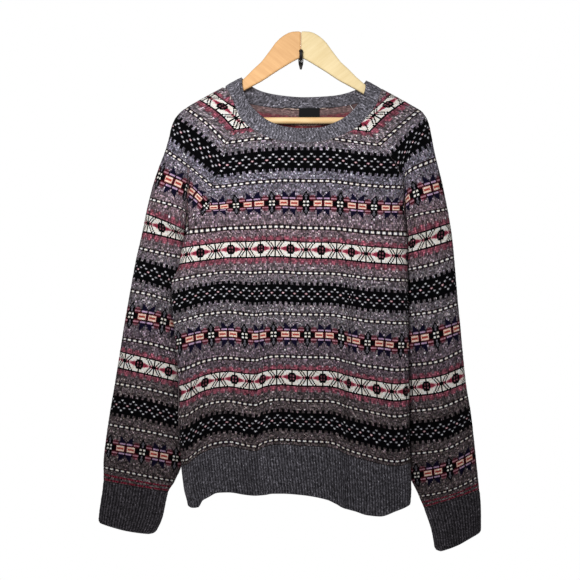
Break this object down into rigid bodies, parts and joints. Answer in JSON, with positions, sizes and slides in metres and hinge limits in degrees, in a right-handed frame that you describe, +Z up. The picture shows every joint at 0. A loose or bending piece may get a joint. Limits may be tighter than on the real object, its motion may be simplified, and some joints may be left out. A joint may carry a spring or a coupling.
{
  "type": "fair isle jumper on a wooden hanger",
  "caption": "Stranded fair isle wool jumper with raglan sleeves, ribbed crew neck, hem and cuffs, hanging from a flat wooden hanger on a small black wall hook.",
  "frame": {"origin": "middle of the wall hook's plate, on the wall behind it", "axes": "+Z up, +X to the right seen from the front; the wall is the plane y = 0 and the jumper's front faces -Y"},
  "size_m": [0.6739, 0.0879, 0.9139],
  "materials": {
    "stranded_knit": "matte",
    "ribbed_knit": "matte",
    "label_tape": "satin",
    "pale_wood": "satin",
    "black_iron": "satin"
  },
  "bodies": {
    "root": {"front_panel": "stranded_knit", "back_panel": "stranded_knit", "sleeve_left": "stranded_knit", "sleeve_right": "stranded_knit", "neckband": "ribbed_knit", "hem_rib_front": "ribbed_knit", "hem_rib_back": "ribbed_knit", "cuff_left": "ribbed_knit", "cuff_right": "ribbed_knit", "neck_label": "label_tape", "hanger_half_left": "pale_wood", "hanger_half_right": "pale_wood", "trouser_bar": "pale_wood", "wall_hook": "black_iron"}
  },
  "joints": []
}
